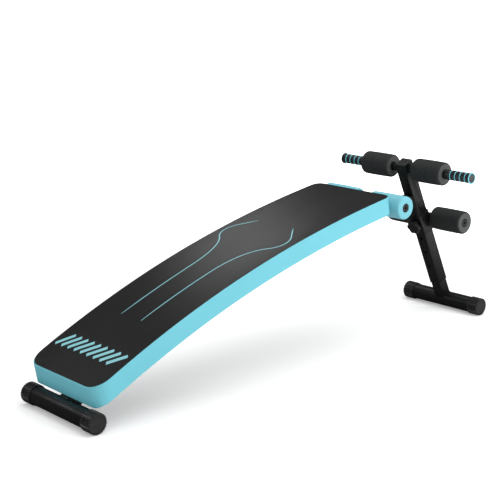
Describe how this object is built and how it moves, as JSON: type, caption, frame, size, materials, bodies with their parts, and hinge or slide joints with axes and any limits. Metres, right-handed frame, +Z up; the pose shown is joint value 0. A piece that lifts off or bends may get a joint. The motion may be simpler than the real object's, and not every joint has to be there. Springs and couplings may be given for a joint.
{
  "type": "decline sit up bench",
  "caption": "Decline sit-up bench with a curved padded board, foam leg rollers, handles and a folding height-adjustable front leg.",
  "frame": {"origin": "on the floor midway between the two foot tubes, on the mid-plane", "axes": "+X towards the front leg along the board's length, +Y to the left, +Z up"},
  "size_m": [1.556, 0.515, 0.5241],
  "materials": {
    "powder_coat": "satin black powder coat",
    "black_rubber": "matt moulded rubber",
    "black_foam": "matt closed-cell foam",
    "blue_foam": "smooth closed-cell foam",
    "blue_rubber": "smooth moulded rubber",
    "blue_vinyl": "fine-grained upholstery vinyl",
    "black_vinyl": "fine-grained upholstery vinyl",
    "pad_foam": "open-cell foam",
    "plywood": "bare plywood",
    "black_plastic": "moulded plastic, fine texture",
    "zinc_steel": "bright zinc plate"
  },
  "bodies": {
    "bench_frame": {"top_cover": "black_vinyl", "pad_foam": "pad_foam", "side_band": "blue_vinyl", "backing_board": "plywood", "main_frame_tube": "powder_coat", "rear_foot_tube": "powder_coat", "rear_foot_cap_left": "black_rubber", "rear_foot_cap_right": "black_rubber", "board_tab_low_left": "powder_coat", "board_tab_low_right": "powder_coat", "board_tab_high_left": "powder_coat", "board_tab_high_right": "powder_coat", "board_screw_low_left": "zinc_steel", "board_screw_low_right": "zinc_steel", "board_screw_high_left": "zinc_steel", "board_screw_high_right": "zinc_steel", "hinge_tongue": "powder_coat", "hinge_bolt": "zinc_steel", "hinge_nut": "zinc_steel", "hinge_washer_left": "zinc_steel", "hinge_washer_right": "zinc_steel", "knee_roller_tube": "powder_coat", "knee_roller_plug_left": "black_plastic", "knee_roller_plug_right": "black_plastic"},
    "knee_roller_left": {"knee_roller_left": "blue_foam"},
    "knee_roller_right": {"knee_roller_right": "blue_foam"},
    "leg_sleeve": {"sleeve": "powder_coat", "sleeve_bush_top": "black_plastic", "sleeve_bush_bottom": "black_plastic", "hinge_bracket": "powder_coat", "foot_roller_tube": "powder_coat", "foot_roller_plug_left": "black_plastic", "foot_roller_plug_right": "black_plastic", "pin_barrel": "zinc_steel", "pin_spring": "zinc_steel"},
    "foot_roller_left": {"foot_roller_left": "black_foam"},
    "foot_roller_right": {"foot_roller_right": "black_foam"},
    "pull_pin": {"height_pin": "zinc_steel"},
    "knob": {"height_knob": "black_plastic"},
    "post": {"post_tube": "powder_coat", "post_top_plug": "black_plastic", "post_collar": "black_plastic", "post_stub": "powder_coat", "front_foot_tube": "powder_coat", "front_foot_cap_left": "black_rubber", "front_foot_cap_right": "black_rubber", "handle_bar": "powder_coat", "handle_grip_left": "black_rubber", "handle_grip_right": "black_rubber", "grip_end_cap_left": "black_rubber", "grip_end_cap_right": "black_rubber", "grip_end_ring_left": "blue_rubber", "grip_end_ring_right": "blue_rubber", "handle_screw": "zinc_steel"},
    "shin_roller_left": {"shin_roller_left": "black_foam"},
    "shin_roller_right": {"shin_roller_right": "black_foam"}
  },
  "joints": [
    {"name": "leg_fold", "type": "hinge", "parent": "bench_frame", "child": "leg_sleeve", "pos_m": [0.52, 0, 0.387], "axis": [0, 1, 0], "range_deg": [0, 105]},
    {"name": "height_slide", "type": "slide", "parent": "leg_sleeve", "child": "post", "axis": [-0.425, 0, 0.9052], "range_m": [0, 0.165]},
    {"name": "pin_pull", "type": "slide", "parent": "leg_sleeve", "child": "pull_pin", "axis": [-0.9052, 0, -0.425], "range_m": [-0.005, 0]},
    {"name": "knob_turn", "type": "hinge", "parent": "pull_pin", "child": "knob", "pos_m": [0.61889, 0, 0.30725], "axis": [-0.9052, 0, -0.425], "continuous": true},
    {"name": "knee_roller_left_spin", "type": "hinge", "parent": "bench_frame", "child": "knee_roller_left", "pos_m": [0.357, 0, 0.4078], "axis": [0, 1, 0], "continuous": true},
    {"name": "knee_roller_right_spin", "type": "hinge", "parent": "bench_frame", "child": "knee_roller_right", "pos_m": [0.357, 0, 0.4078], "axis": [0, 1, 0], "continuous": true},
    {"name": "foot_roller_left_spin", "type": "hinge", "parent": "leg_sleeve", "child": "foot_roller_left", "pos_m": [0.65433, 0, 0.31837], "axis": [0, 1, 0], "continuous": true},
    {"name": "foot_roller_right_spin", "type": "hinge", "parent": "leg_sleeve", "child": "foot_roller_right", "pos_m": [0.65433, 0, 0.31837], "axis": [0, 1, 0], "continuous": true},
    {"name": "shin_roller_left_spin", "type": "hinge", "parent": "post", "child": "shin_roller_left", "pos_m": [0.53411, 0, 0.48784], "axis": [0, 1, 0], "continuous": true},
    {"name": "shin_roller_right_spin", "type": "hinge", "parent": "post", "child": "shin_roller_right", "pos_m": [0.53411, 0, 0.48784], "axis": [0, 1, 0], "continuous": true}
  ]
}
